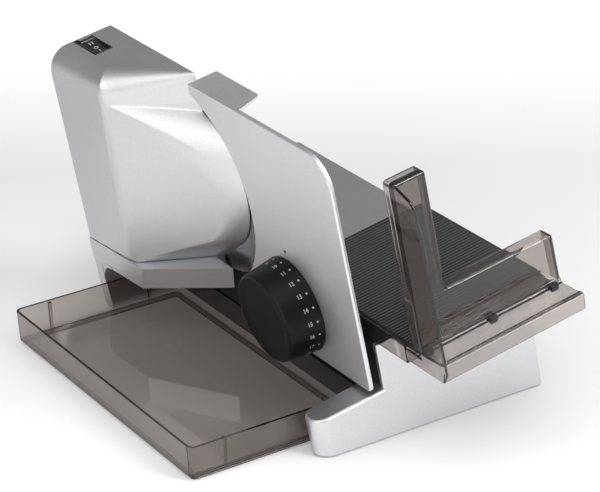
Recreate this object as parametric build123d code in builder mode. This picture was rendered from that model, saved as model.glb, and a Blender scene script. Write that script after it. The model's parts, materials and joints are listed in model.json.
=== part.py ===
from build123d import *
import os
from math import sin, cos, tan, radians, pi, sqrt, acos

# Compact household food slicer.  Millimetres, +Z up, the worktop is Z = 0.
# +X is the user's right, +Y points away from the user.
# The upper unit leans to the left: it is drawn in a tilted frame whose axes are
# x' (rising to the right), y and z'.  x' = 0 is the cutting plane of the blade,
# y = 0 the front face of the front leg, z' = 0 the top of the low part of that leg.

# ---------------------------------------------------------------- driving dimensions
TILT = 10.0                      # lean of the cutting plane, degrees
OX, OY, OZ = 2.032, -117.3, 41.5  # origin of the tilted frame in the part's own frame

LEG_T = 23.5                     # thickness of the front leg, along y
LEG_X0, LEG_X1 = -60.2, 135.0    # ends of the front leg, along x'
RAISED_TOP = 38.0                # top of the raised panel and of the chassis deck
DECK_X1 = 133.0                  # right edge of the deck, along x'
FOOT_H = 1.5                     # rubber feet below the casings

BLADE_R = 84.5                   # 169 mm blade
AX_Y, AX_Z = 211.3, 105.75       # blade axis in y, z'

PLATE_OPEN = 10.0                # slice thickness set at rest
PLATE_T = 3.0
PLATE_TOP = 197.0
PLATE_BOT = 4.5
PLATE_ARC_R = 86.6
GUARD_Z = 196.5                  # upper face of the finger guard

KNOB_Y, KNOB_Z = 84.3, 45.0      # dial axis
KNOB_RB, KNOB_RF, KNOB_D = 38.6, 35.6, 28.0

HOUSE_TOP = 201.0
SEAM_Z = 34.6                    # parting line of the two housing shells
HOUSE_BACK = 318.0
HOUSE_RIGHT = -3.3
WALL = 2.5
BULGE_R = 66.5                   # rim of the gear bulge, about the blade axis
BULGE_BACK, BULGE_GROW = 1.83, 0.52    # its circle moves back and grows, per mm to the left
FLAT_DEG = 26.0                  # slope of the big flat of the gear bulge

DECK_Z = 57.0                    # food table
CAR_X0, CAR_X1 = 2.0, 126.0      # carriage sides
CAR_Y0, CAR_Y1 = -87.5, 118.0    # carriage front and back at rest
WALL_TOP, WALL_LOW = 193.0, 98.0 # tall and low part of the pusher wall

TRAY_X0, TRAY_X1 = -291.5, -141.8  # from the front leg's lower right corner
TRAY_Y0, TRAY_Y1 = 27.0, 302.0
TRAY_H = 28.5

CS, SN = cos(radians(TILT)), sin(radians(TILT))
XP = (CS, 0, SN)
ZP = (-SN, 0, CS)
CORNER_X = OX + 143.3            # x of the front leg's lower right corner


def tp(x, y, z):
    """Point of the tilted frame, in the part's own frame."""
    return (OX + x * CS - z * SN, OY + y, OZ + x * SN + z * CS)


def PX(x):
    """Plane across x'; its local axes are y and z'."""
    return Plane(origin=tp(x, 0, 0), x_dir=(0, 1, 0), z_dir=XP)


def PY(y):
    """Plane across y; its local axes are x' and z'; it extrudes towards the user."""
    return Plane(origin=tp(0, y, 0), x_dir=XP, z_dir=(0, -1, 0))


def PZ(z):
    """Plane across z'; its local axes are x' and y."""
    return Plane(origin=tp(0, 0, z), x_dir=XP, z_dir=ZP)


TF = PZ(0)


def tbox(x0, x1, y0, y1, z0, z1, mode=Mode.ADD):
    """Block between two corners of the tilted frame."""
    with BuildSketch(PZ(z0)) as s:
        with Locations(((x0 + x1) / 2, (y0 + y1) / 2)):
            Rectangle(x1 - x0, y1 - y0)
    extrude(s.sketch, amount=z1 - z0, mode=mode)


def cylx(x0, x1, y, z, r, mode=Mode.ADD):
    """Round bar along x'."""
    with BuildSketch(PX(x0)) as s:
        with Locations((y, z)):
            Circle(r)
    extrude(s.sketch, amount=x1 - x0, mode=mode)


def cyly(y0, y1, x, z, r, mode=Mode.ADD):
    """Round bar along y."""
    with BuildSketch(PY(y0)) as s:
        with Locations((x, z)):
            Circle(r)
    extrude(s.sketch, amount=-(y1 - y0), mode=mode)


def floor_cut(z):
    """Everything below the height z is taken away."""
    with BuildSketch(Plane.XY.offset(z)) as s:
        Rectangle(1600, 1600)
    extrude(s.sketch, amount=-300, mode=Mode.SUBTRACT)


def poly(pts):
    """Straight-sided face through the given points."""
    Polygon(*pts, align=None)


def finish(builder, node):
    builder.part.label = node
    export_step(builder.part, "parts/" + node + ".step")


os.makedirs("parts", exist_ok=True)

# ---------------------------------------------------------------- front leg
LEG_R = LEG_T / 2
LEG_C = LEG_X0 + LEG_R
POSTS = (-46.0, 120.0)
with BuildPart() as front_leg:
    with BuildSketch(PZ(0)):
        with Locations(((LEG_C + LEG_X1) / 2, LEG_R)):
            Rectangle(LEG_X1 - LEG_C, LEG_T)
        with Locations((LEG_C, LEG_R)):
            Circle(LEG_R)
    extrude(amount=-95)
    fillet(front_leg.faces().filter_by(lambda f: f.normal_at().dot(Vector(*ZP)) > 0.99).edges()
           .filter_by(lambda e: Vector(*XP).dot(e.center() - Vector(*tp(0, 0, 0))) < LEG_X1 - 3), 2.5)
    tbox(0, LEG_X1, 0, 5, -6, RAISED_TOP)
    # hollow from below
    with BuildSketch(PZ(-3.5)):
        with Locations(((LEG_C + LEG_X1 - 3) / 2, LEG_R)):
            Rectangle(LEG_X1 - 3 - LEG_C, LEG_T - 6)
        with Locations((LEG_C, LEG_R)):
            Circle(LEG_R - 3)
    extrude(amount=-95, mode=Mode.SUBTRACT)
    # posts that carry the feet
    for px in POSTS:
        with BuildSketch(PZ(-3.0)):
            with Locations((px, LEG_R)):
                Circle(8.6)
        extrude(amount=-95)
    floor_cut(FOOT_H)
    # soft edges of the raised panel
    fillet(front_leg.edges().filter_by(lambda e: abs(e.tangent_at(0.5).dot(Vector(*ZP))) > 0.99 and e.length > 20
           and (e.center() - Vector(*tp(0, 0, 20))).length < 9), 1.6)
    fillet(front_leg.edges().filter_by(lambda e: abs(e.tangent_at(0.5).dot(Vector(*ZP))) > 0.99 and e.length > 20
           and abs((e.center() - Vector(*tp(LEG_X1, 0, 0))).dot(Vector(*XP))) < 0.1 and abs(e.center().Y - OY) < 0.1), 2.0)
finish(front_leg, "front_leg")

# ---------------------------------------------------------------- chassis under the carriage
GUIDE_Y = (36.0, 132.0)
GUIDE_Z = 17.0
GUIDE_R = 4.0
RIVET_Z = (18.5, 27.5)
REAR_SCREWS = ((20, 6), (112, 6), (20, 27), (112, 27))
REAR_Y = 306.5                   # front face of the rear leg
RAIL_X = 65.0
RAIL_SCREWS = (30, 154, 278)
with BuildPart() as chassis:
    tbox(1, 130, LEG_T + 0.3, REAR_Y, -95, RAISED_TOP)
    tbox(1, 130, 5.2, LEG_T + 1, 0.3, RAISED_TOP)
    fillet(chassis.edges().filter_by(lambda e: abs(e.tangent_at(0.5).Y) > 0.99 and e.length > 100
           and (e.center() - Vector(*tp(128.5, 0, 20))).dot(Vector(*XP)) > 0 and e.center().Z > 60), 2.5)
    tbox(127, DECK_X1, LEG_T + 0.3, REAR_Y, RAISED_TOP - 9, RAISED_TOP)   # lip of the deck over the right side
    tbox(4, 127, LEG_T + 3.3, REAR_Y - 3, -95, RAISED_TOP - 3, Mode.SUBTRACT)
    tbox(4, 127, 8.2, LEG_T + 6, 3.3, RAISED_TOP - 3, Mode.SUBTRACT)
    tbox(33, 36, LEG_T + 1, REAR_Y - 2, -6, RAISED_TOP - 1)          # inner rib for the guide bars
    tbox(60, 70, LEG_T + 1, REAR_Y - 2, 24, RAISED_TOP - 1)          # beam under the rail
    for gy in GUIDE_Y:
        cylx(0, 10, gy, GUIDE_Z, 6.0, Mode.SUBTRACT)
        cylx(30, 40, gy, GUIDE_Z, GUIDE_R + 0.08, Mode.SUBTRACT)
    for dz in RIVET_Z:
        cylx(0, 5, KNOB_Y, dz, 2.0, Mode.SUBTRACT)
    for sx, sz in REAR_SCREWS:
        cyly(REAR_Y - 5, REAR_Y + 1, sx, sz, 2.0, Mode.SUBTRACT)
    for ry in RAIL_SCREWS:
        with BuildSketch(PZ(RAISED_TOP + 1)):
            with Locations((RAIL_X, ry)):
                Circle(2.0)
        extrude(amount=-10, mode=Mode.SUBTRACT)
    floor_cut(3.0)
finish(chassis, "chassis")

# ---------------------------------------------------------------- housing shells
DIAG = Vector(-0.751, -0.660)    # outward direction of the oblique front face, in x', y
TOE, TOE_LOW = 0.0734, 0.0517    # the left face closes in towards the user
LEFT_TOP, LEFT_SEAM, LEFT_LOW = -61.6, -64.4, -64.8   # left face at the back
D_FACE, D_LIP = -120.3, -112.0   # oblique face of the housing and of the lip
D_FOOT, FACE_Z = D_FACE - 11.5, 176.0  # below this height the oblique face leans back to its foot
LIP_BOT = 14.5
LIP_RIGHT = -10.5


def plan(d, left, inset=0.0, right=HOUSE_RIGHT, back=HOUSE_BACK, toe=TOE):
    """Plan of the housing with its oblique face at the distance d, shrunk by inset."""
    right, back, d = right - inset, back - inset, d - inset
    a = left + HOUSE_BACK * toe + inset
    y_l = (d - DIAG.X * a) / (DIAG.Y - DIAG.X * toe)
    y_r = (d - DIAG.X * right) / DIAG.Y
    return [(right, y_r), (right, back), (a - back * toe, back), (a - y_l * toe, y_l)]


# bulge over the gears: a slanting cone that starts at a circle about the blade axis, cut by the big flat
BE_Y, BE_X = 252.0, -58.6        # upright left edge of the flat


def tdir(v):
    """Direction of the tilted frame, in the part's own frame."""
    return Vector(v[0] * CS - v[2] * SN, v[1], v[0] * SN + v[2] * CS)


def cut_beyond(point, direction):
    """Takes away everything beyond the plane through a point of the tilted frame."""
    with BuildSketch(Plane(origin=tp(*point), x_dir=tdir((0.66, -0.751, 0)).cross(tdir(direction)), z_dir=tdir(direction))) as s:
        Rectangle(700, 700)
    extrude(s.sketch, amount=300, mode=Mode.SUBTRACT)


def bulge_block(x_r, y_e, z_lo, shrink, shift):
    """Body of the bulge; shrink makes its cone smaller, shift moves its flat inwards."""
    ends = []
    for x in (x_r, -66.0):
        u = HOUSE_RIGHT - x
        with BuildSketch(PX(x)) as s:
            with Locations((AX_Y + BULGE_BACK * u, AX_Z)):
                Circle(BULGE_R + BULGE_GROW * u - shrink)
        ends.append(s.sketch.faces()[0])
    loft(ends, ruled=True)
    tbox(-80, 20, y_e, 480, -40, 260, Mode.SUBTRACT)
    tbox(-80, 20, 60, 480, -40, z_lo, Mode.SUBTRACT)
    n = (-cos(radians(FLAT_DEG)), -sin(radians(FLAT_DEG)), 0)
    cut_beyond((BE_X - n[0] * shift, BE_Y - n[1] * shift, 100), n)


with BuildPart() as bulge_outer:
    bulge_block(HOUSE_RIGHT, BE_Y, SEAM_Z, 0.0, 0.0)
    nw = tdir((-cos(radians(FLAT_DEG)), -sin(radians(FLAT_DEG)), 0))
    flat = bulge_outer.faces().filter_by(lambda f: f.normal_at().dot(nw) > 0.999)
    fillet(flat.edges().sort_by(SortBy.LENGTH)[-1:], 4.0)

with BuildPart() as bulge_inner:
    bulge_block(HOUSE_RIGHT - WALL, BE_Y + 3, SEAM_Z - 1, 4.2, WALL)

with BuildPart() as motor_housing:
    with BuildSketch(PZ(SEAM_Z)):
        poly(plan(D_FOOT, LEFT_SEAM))
    with BuildSketch(PZ(FACE_Z)):
        poly(plan(D_FACE, LEFT_SEAM + (LEFT_TOP - LEFT_SEAM) * (FACE_Z - SEAM_Z) / (HOUSE_TOP - SEAM_Z)))
    with BuildSketch(PZ(HOUSE_TOP)):
        poly(plan(D_FACE, LEFT_TOP))
    loft(ruled=True)
    top_left = motor_housing.edges().filter_by(
        lambda e: abs((e.center() - Vector(*tp(0, 0, HOUSE_TOP))).dot(Vector(*ZP))) < 0.1
        and abs((e.center() - Vector(*tp(0, 0, 0))).dot(Vector(*XP)) + 60) < 5)
    fillet(top_left, 18.0)
    add(bulge_outer.part)
    # inside
    with BuildSketch(PZ(SEAM_Z - 1)):
        poly(plan(D_FOOT, LEFT_TOP, WALL))
    with BuildSketch(PZ(FACE_Z)):
        poly(plan(D_FACE, LEFT_TOP, WALL))
    with BuildSketch(PZ(178.0)):
        poly(plan(D_FACE, LEFT_TOP, WALL))
    loft(ruled=True, mode=Mode.SUBTRACT)
    with BuildSketch(PZ(SEAM_Z - 1)):
        poly(plan(D_FACE, LEFT_TOP, WALL + 11))
    extrude(amount=HOUSE_TOP - WALL - SEAM_Z + 1, mode=Mode.SUBTRACT)
    add(bulge_inner.part, mode=Mode.SUBTRACT)
    # round opening for the gear cover, on the food side
    cylx(HOUSE_RIGHT - WALL - 0.5, HOUSE_RIGHT + 1, AX_Y, AX_Z, 56.0, Mode.SUBTRACT)
    # switch opening in the top
    tbox(-37.6, -22.4, 278.9, 314.5, 185, 205, Mode.SUBTRACT)
finish(motor_housing, "motor_housing")

with BuildPart() as lower_shell:
    with BuildSketch(PZ(LIP_BOT)):
        poly(plan(D_LIP - 3.5, LEFT_LOW, right=LIP_RIGHT, toe=TOE_LOW))
    with BuildSketch(PZ(SEAM_Z - 0.2)):
        poly(plan(D_LIP, LEFT_SEAM, right=LIP_RIGHT, toe=TOE_LOW))
    loft()
    with BuildSketch(PZ(LIP_BOT - 1)):
        poly(plan(D_LIP - 3.5, LEFT_SEAM, 3.0, right=LIP_RIGHT, toe=TOE_LOW))
    extrude(amount=SEAM_Z - 2.4 - LIP_BOT + 1, mode=Mode.SUBTRACT)
    # ledge under the upper shell, open inside it
    with BuildSketch(PZ(SEAM_Z - 5)):
        poly(plan(D_FOOT, LEFT_SEAM, 5.0, right=LIP_RIGHT))
    extrude(amount=10, mode=Mode.SUBTRACT)
    tbox(LIP_RIGHT - 0.1, HOUSE_RIGHT, 207, HOUSE_BACK, LIP_BOT, SEAM_Z - 0.2)
    # rear leg: a wall down to the worktop, behind the tray, that also carries the chassis
    with BuildSketch(PY(REAR_Y)):
        poly([(-64.0, 20), (-64.6, 0), (-64.2, -40), (-62.0, -60), (-60, -95), (LEG_X1, -95), (LEG_X1, 12),
              (130, RAISED_TOP - 4), (126, RAISED_TOP), (-3.0, RAISED_TOP), (-3.0, 20)])
    extrude(amount=-(HOUSE_BACK - REAR_Y))
    fillet(lower_shell.edges().filter_by(lambda e: abs(e.tangent_at(0.5).dot(Vector(*ZP))) > 0.99 and e.length > 20
           and abs((e.center() - Vector(*tp(LEG_X1, 0, 0))).dot(Vector(*XP))) < 0.1 and e.center().Y > OY + 317), 3.0)
    # gusset that rounds the arch into the rear leg
    with BuildSketch(PX(-64.0)):
        with BuildLine():
            Polyline((307, -1), (307, LIP_BOT + 2), (290, LIP_BOT + 2), (290, LIP_BOT))
            ThreePointArc((290, LIP_BOT), (301.5, 10.5), (306.5, -1))
            Line((306.5, -1), (307, -1))
        make_face()
    extrude(amount=2.8)
    cyly(300, 330, -38, 24.5, 6.0, Mode.SUBTRACT)            # seat of the cable gland
    for sx, sz in REAR_SCREWS:
        cyly(299, 330, sx, sz, 2.0, Mode.SUBTRACT)
        cyly(HOUSE_BACK - 0.6, 330, sx, sz, 4.0, Mode.SUBTRACT)
    floor_cut(FOOT_H)
finish(lower_shell, "lower_shell")

with BuildPart() as bottom_cover:
    with BuildSketch(PZ(15.0)):
        poly(plan(D_LIP - 3.5, LEFT_SEAM, 3.0, right=LIP_RIGHT, back=309.5, toe=TOE_LOW))
    extrude(amount=2.4)
finish(bottom_cover, "bottom_cover")

with BuildPart() as gear_cover:
    cylx(HOUSE_RIGHT - WALL, HOUSE_RIGHT, AX_Y, AX_Z, 56.0)
    cylx(HOUSE_RIGHT - WALL - 2.5, HOUSE_RIGHT - WALL, AX_Y, AX_Z, 53.0)
    cylx(HOUSE_RIGHT - WALL - 3, HOUSE_RIGHT - WALL, AX_Y, AX_Z, 50.5, Mode.SUBTRACT)
    cylx(HOUSE_RIGHT - WALL - 1, HOUSE_RIGHT + 1, AX_Y, AX_Z, 10.5, Mode.SUBTRACT)
finish(gear_cover, "gear_cover")

with BuildPart() as cable_gland:
    cyly(300.5, HOUSE_BACK, -38, 24.5, 6.0)
    cyly(HOUSE_BACK, HOUSE_BACK + 4, -38, 24.5, 8.5)
    cyly(300, HOUSE_BACK + 5, -38, 24.5, 3.6, Mode.SUBTRACT)
finish(cable_gland, "cable_gland")

with BuildPart() as rubber_feet:
    for px in POSTS:
        c = tp(px, LEG_R, -36)
        with BuildSketch(Plane.XY):
            with Locations((OX + (px * CS + SN * (OZ + px * SN) / CS * 1.0), OY + LEG_R)):
                Circle(7.0)
        extrude(amount=FOOT_H)
    for fx in (-52.0, 118.0):
        with BuildSketch(Plane.XY):
            with Locations((OX + fx * CS + SN * (OZ + fx * SN) / CS, OY + 312.2)):
                Circle(5.0)
        extrude(amount=FOOT_H)
finish(rubber_feet, "rubber_feet")

with BuildPart() as housing_screws:
    for sx, sz in REAR_SCREWS:
        cyly(HOUSE_BACK - 20.5, HOUSE_BACK - 0.6, sx, sz, 2.0)
        cyly(HOUSE_BACK - 0.6, HOUSE_BACK + 1.6, sx, sz, 4.0)
        with BuildSketch(PY(HOUSE_BACK + 1.7)):
            with Locations((sx, sz)):
                Rectangle(4.6, 0.9)
                Rectangle(0.9, 4.6)
        extrude(amount=1.1, mode=Mode.SUBTRACT)
finish(housing_screws, "housing_screws")

# ---------------------------------------------------------------- drive train
M2, Z_BLADE, Z_PINION = 1.0, 72, 12      # second stage
M1, Z_WHEEL, Z_MOTOR = 0.8, 50, 10       # first stage
ID_Y, ID_Z = AX_Y + M2 * (Z_BLADE + Z_PINION) / 2, AX_Z
MO_Y, MO_Z = ID_Y + M1 * (Z_WHEEL + Z_MOTOR) / 2, AX_Z


def gear_points(m, z, phase, backlash=0.2, pa=radians(20)):
    """Involute outline about (0, 0), one tooth centred on the angle phase."""
    rp = m * z / 2
    rb, ra, rf = rp * cos(pa), rp + 0.92 * m, rp - 1.25 * m
    inv = lambda a: tan(a) - a
    half = pi / (2 * z) - backlash / (2 * rp)
    r0 = max(rb, rf)
    radii = [r0 + (ra - r0) * i / 5 for i in range(6)]
    psi = [half + inv(pa) - inv(acos(min(1, rb / r))) for r in radii]
    pts = []
    for i in range(z):
        c = phase + 2 * pi * i / z
        side = [(r, c - p) for r, p in zip(radii, psi)]
        far = [(r, c + p) for r, p in zip(radii, psi)][::-1]
        ring = side + far
        if rf < r0 - 0.02:
            ring = [(rf, c - psi[0])] + ring + [(rf, c + psi[0])]
        pts += [(r * cos(a), r * sin(a)) for r, a in ring]
    return pts


def gear(x0, x1, y, z, m, n, phase, mode=Mode.ADD):
    with BuildSketch(PX(x0)) as s:
        poly([(y + a, z + b) for a, b in gear_points(m, n, phase)])
    extrude(s.sketch, amount=x1 - x0, mode=mode)


with BuildPart() as blade_gear:
    gear(-18, -11, AX_Y, AX_Z, M2, Z_BLADE, 0.0)
    cylx(-28.5, -11, AX_Y, AX_Z, 6.0)
    cylx(-11, -2.7, AX_Y, AX_Z, 10.0)
    cylx(-11, -1.6, AX_Y, AX_Z, 6.0)
    with BuildSketch(PX(-18.1)):
        with Locations((AX_Y, AX_Z)):
            with PolarLocations(21, 6):
                Circle(6.5)
    extrude(amount=7.2, mode=Mode.SUBTRACT)
    cylx(-12, -1, AX_Y, AX_Z, 2.5, Mode.SUBTRACT)
finish(blade_gear, "blade_gear")

with BuildPart() as idler_gear:
    gear(-18.5, -10.5, ID_Y, ID_Z, M2, Z_PINION, pi + pi / Z_PINION)
    gear(-26, -20, ID_Y, ID_Z, M1, Z_WHEEL, 0.0)
    cylx(-20, -18.5, ID_Y, ID_Z, 4.6)
    cylx(-27, -10, ID_Y, ID_Z, 2.05, Mode.SUBTRACT)
finish(idler_gear, "idler_gear")

with BuildPart() as idler_axle:
    cylx(-30, -9.2, ID_Y, ID_Z, 2.0)
    cylx(-9.2, -8.2, ID_Y, ID_Z, 3.6)
finish(idler_axle, "idler_axle")

with BuildPart() as motor_pinion:
    gear(-26.5, -19.5, MO_Y, MO_Z, M1, Z_MOTOR, pi + pi / Z_MOTOR)
    cylx(-53.2, -26.5, MO_Y, MO_Z, 2.0)
finish(motor_pinion, "motor_pinion")

with BuildPart() as motor_armature:
    cylx(-49.5, -35.5, MO_Y, MO_Z, 14.5)
    with BuildSketch(PX(-50)):
        with Locations((MO_Y, MO_Z)):
            with PolarLocations(12.5, 8):
                Rectangle(6.0, 2.2)
    extrude(amount=15, mode=Mode.SUBTRACT)
    cylx(-35.5, -33.2, MO_Y, MO_Z, 5.0)                      # commutator
    cylx(-51, -32, MO_Y, MO_Z, 2.0, Mode.SUBTRACT)
finish(motor_armature, "motor_armature")

with BuildPart() as motor_can:
    cylx(-54.2, -30.3, MO_Y, MO_Z, 20.0)
    fillet(motor_can.edges(), 1.5)
    cylx(-30.3, -29.2, MO_Y, MO_Z, 6.0)
    cylx(-52.4, -32.2, MO_Y, MO_Z, 17.8, Mode.SUBTRACT)      # room for the armature
    cylx(-53.5, -29, MO_Y, MO_Z, 2.06, Mode.SUBTRACT)
    for dz in (-9, 9):                                        # two connection tabs
        tbox(-55.0, -54.2, MO_Y - 2.4, MO_Y + 2.4, MO_Z + dz - 0.5, MO_Z + dz + 0.5)
finish(motor_can, "motor_can")

with BuildPart() as motor_bracket:
    with BuildSketch(PX(-30.2)):
        with BuildLine():
            Polyline((200, 88), (232, 74), (302, 74), (302, 138), (232, 138), (200, 124), close=True)
        make_face()
        with Locations((AX_Y, AX_Z)):
            Circle(10.0, mode=Mode.SUBTRACT)
        with Locations((MO_Y, MO_Z)):
            Circle(6.0, mode=Mode.SUBTRACT)
        with Locations((ID_Y, ID_Z)):
            Circle(2.0, mode=Mode.SUBTRACT)
        for sy, sz in ((296, 80), (296, 132), (236, 80), (236, 132)):
            with Locations((sy, sz)):
                Circle(1.6, mode=Mode.SUBTRACT)
    extrude(amount=1.8)
finish(motor_bracket, "motor_bracket")

with BuildPart() as bracket_screws:
    for sy, sz in ((296, 80), (296, 132), (236, 80), (236, 132)):
        cylx(-34.5, -28.4, sy, sz, 1.6)
        cylx(-28.4, -26.6, sy, sz, 3.0)
        with BuildSketch(PX(-27.6)):
            with Locations((sy, sz)):
                Rectangle(3.6, 0.8)
                Rectangle(0.8, 3.6)
        extrude(amount=1.2, mode=Mode.SUBTRACT)
finish(bracket_screws, "bracket_screws")

with BuildPart() as blade_bush:
    cylx(-29.6, -18.4, AX_Y, AX_Z, 10.0)
    cylx(-30, -18, AX_Y, AX_Z, 6.05, Mode.SUBTRACT)
finish(blade_bush, "blade_bush")

with BuildPart() as blade:
    with BuildSketch(Plane(origin=tp(0, AX_Y, AX_Z), x_dir=XP, z_dir=(0, -1, 0))):
        poly([(-2.7, 6.1), (-1.6, 6.1), (-1.6, 66), (-0.5, 78), (-0.35, BLADE_R), (-0.6, BLADE_R), (-1.6, 78), (-2.7, 66)])
    revolve(axis=Axis(tp(0, AX_Y, AX_Z), XP))
    with BuildSketch(PX(-3)):
        with Locations((AX_Y, AX_Z)):
            with PolarLocations(30, 4):
                Circle(4)
    extrude(amount=2, mode=Mode.SUBTRACT)
finish(blade, "blade")

with BuildPart() as blade_lock:
    cylx(-1.6, -0.6, AX_Y, AX_Z, 13.0)
    cylx(-11.5, -1.6, AX_Y, AX_Z, 2.5)
    with BuildSketch(PX(-1.0)):
        with Locations((AX_Y, AX_Z)):
            Rectangle(18, 3)
    extrude(amount=1, mode=Mode.SUBTRACT)
finish(blade_lock, "blade_lock")

# ---------------------------------------------------------------- switch on top of the housing
SW_X, SW_Y, SW_Z = -30.0, 296.0, 199.0
with BuildPart() as switch_frame:
    tbox(-37.6, -22.4, 278.9, 314.5, 188, 201.2)
    tbox(-36.5, -23.5, 280.0, 313.4, 190, 203, Mode.SUBTRACT)
    for sx in (-37.05, -22.95):
        cylx(sx - 1, sx + 1, SW_Y, SW_Z - 2, 1.2, Mode.SUBTRACT)
finish(switch_frame, "switch_frame")

with BuildPart() as switch_rocker:
    with BuildSketch(PX(-36.2)):
        with BuildLine():
            Polyline((SW_Y - 15.6, SW_Z - 0.4), (SW_Y, SW_Z + 0.6), (SW_Y + 15.4, SW_Z + 3.6), (SW_Y + 15.8, SW_Z - 1.2),
                     (SW_Y + 6, SW_Z - 7), (SW_Y - 6, SW_Z - 7), (SW_Y - 15.4, SW_Z - 4.0), close=True)
        make_face()
    extrude(amount=12.4)
    fillet(switch_rocker.edges().filter_by(lambda e: abs(e.tangent_at(0.5).dot(Vector(*XP))) > 0.99), 0.7)
    for sx0, sx1 in ((-37.3, -36.2), (-23.8, -22.7)):
        cylx(sx0, sx1, SW_Y, SW_Z - 2, 1.14)
finish(switch_rocker, "switch_rocker")

# ---------------------------------------------------------------- stop plate with its dial
PX0 = -PLATE_OPEN - PLATE_T              # left face of the plate
with BuildPart() as stop_plate:
    arc_top = (183.0, AX_Z + sqrt(PLATE_ARC_R ** 2 - (AX_Y - 183.0) ** 2))
    arc_low_z = 45.0
    arc_low = (AX_Y - sqrt(PLATE_ARC_R ** 2 - (arc_low_z - AX_Z) ** 2), arc_low_z)
    with BuildSketch(PX(PX0)):
        with BuildLine():
            Polyline((-3, PLATE_BOT), (-3, PLATE_TOP), (118, PLATE_TOP), (118, GUARD_Z), (183, GUARD_Z), arc_top)
            ThreePointArc(arc_top, (AX_Y - PLATE_ARC_R, AX_Z), arc_low)
            Polyline(arc_low, (140, PLATE_BOT), (-3, PLATE_BOT))
        make_face()
    extrude(amount=PLATE_T)
    up = stop_plate.edges().filter_by(lambda e: abs(e.tangent_at(0.5).dot(Vector(*XP))) > 0.99)
    near = lambda y, z: up.sort_by(lambda e: (e.center() - Vector(*tp(PX0 + PLATE_T / 2, y, z))).length)[0]
    c1, c2, c3, c4 = near(-3, PLATE_TOP), near(-3, PLATE_BOT), near(140, PLATE_BOT), near(*arc_low)
    fillet([c1], 26.0)
    up = stop_plate.edges().filter_by(lambda e: abs(e.tangent_at(0.5).dot(Vector(*XP))) > 0.99)
    fillet([near(-3, PLATE_BOT)], 5.0)
    up = stop_plate.edges().filter_by(lambda e: abs(e.tangent_at(0.5).dot(Vector(*XP))) > 0.99)
    fillet([near(140, PLATE_BOT)], 20.0)
    # rounded rim on the side away from the food
    left = stop_plate.faces().filter_by(lambda f: f.normal_at().dot(Vector(*XP)) < -0.99)
    fillet(left.edges().filter_by(lambda e: (e.center() - Vector(*tp(PX0, 0, 0))).Y < 60), 1.6)
    # finger guard folded over the food side
    with BuildSketch(PZ(GUARD_Z - 2.0)):
        poly([(PX0, 118.2), (PX0, 183), (12.6, 183), (12.6, 124.5), (10.5, 122.2), (-7.0, 115.8), (-PLATE_OPEN, 115.8), (-PLATE_OPEN, 118.2)])
    extrude(amount=2.0)
    # window for the adjuster bracket, behind the dial and below the food table
    with BuildSketch(PX(PX0 - 1)):
        with Locations((KNOB_Y, 33.5)):
            RectangleRounded(23, 45, 3)
    extrude(amount=PLATE_T + 2, mode=Mode.SUBTRACT)
finish(stop_plate, "stop_plate")

with BuildPart() as plate_guides:
    for gy in GUIDE_Y:
        cylx(-PLATE_OPEN, 48, gy, GUIDE_Z, GUIDE_R)
finish(plate_guides, "plate_guides")

with BuildPart() as guide_bushes:
    for gy in GUIDE_Y:
        cylx(1.0, 14, gy, GUIDE_Z, 6.0)
        cylx(4.0, 6.0, gy, GUIDE_Z, 8.5)
        cylx(0, 15, gy, GUIDE_Z, GUIDE_R + 0.06, Mode.SUBTRACT)
finish(guide_bushes, "guide_bushes")

with BuildPart() as adjuster_bracket:
    tbox(-1, 1, KNOB_Y - 8, KNOB_Y + 8, 14, 53)
    for dz in RIVET_Z:
        cylx(-2, 2, KNOB_Y, dz, 2.0, Mode.SUBTRACT)
    cylx(-2, 2, KNOB_Y, KNOB_Z, 4.0, Mode.SUBTRACT)
finish(adjuster_bracket, "adjuster_bracket")

with BuildPart() as adjuster_screw:
    cylx(-27, -1, KNOB_Y, KNOB_Z, 6.0)
    chamfer(adjuster_screw.edges(), 0.6)
    cylx(-1.7, 1.0, KNOB_Y, KNOB_Z, 4.0)
finish(adjuster_screw, "adjuster_screw")

with BuildPart() as bracket_rivets:
    for dz in RIVET_Z:
        cylx(-1, 4.6, KNOB_Y, dz, 2.0)
        cylx(-1.7, -1, KNOB_Y, dz, 3.6)
finish(bracket_rivets, "bracket_rivets")

with BuildPart() as knob_carrier:
    with BuildSketch(Plane(origin=tp(0, KNOB_Y, KNOB_Z), x_dir=XP, z_dir=(0, -1, 0))):
        poly([(PX0, 27), (PX0, 33), (PX0 - 5.4, 33), (PX0 - 5.4, 34.0), (PX0 - 6.8, 33.6), (PX0 - 6.8, 27)])
    revolve(axis=Axis(tp(0, KNOB_Y, KNOB_Z), XP))
finish(knob_carrier, "knob_carrier")

with BuildPart() as knob:
    kb, kf = PX0 - 0.6, PX0 - 0.6 - KNOB_D
    with BuildSketch(Plane(origin=tp(0, KNOB_Y, KNOB_Z), x_dir=XP, z_dir=(0, -1, 0))):
        with BuildLine():
            Polyline((kb, 33.09), (kb, KNOB_RB), (kf + 2.6, KNOB_RF - 0.1))
            ThreePointArc((kf + 2.6, KNOB_RF - 0.1), (kf + 0.75, KNOB_RF - 0.95), (kf, KNOB_RF - 2.8))
            Polyline((kf, KNOB_RF - 2.8), (kf + 0.1, KNOB_RF - 4.6), (kf + 0.8, 26), (kf + 0.8, 0), (kf + 3.5, 0), (kf + 3.5, 31.5), (PX0 - 8.5, 33.0), (PX0 - 7.4, 34.4),
                     (PX0 - 4.9, 34.4), (PX0 - 4.9, 33.09), (kb, 33.09))
        make_face()
    revolve(axis=Axis(tp(0, KNOB_Y, KNOB_Z), XP))
finish(knob, "knob")

with BuildPart() as knob_nut:
    cylx(kf + 3.5, PX0 - 0.1, KNOB_Y, KNOB_Z, 10.0)
    cylx(kf + 3.5, PX0 + 1, KNOB_Y, KNOB_Z, 6.09, Mode.SUBTRACT)
finish(knob_nut, "knob_nut")

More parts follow.
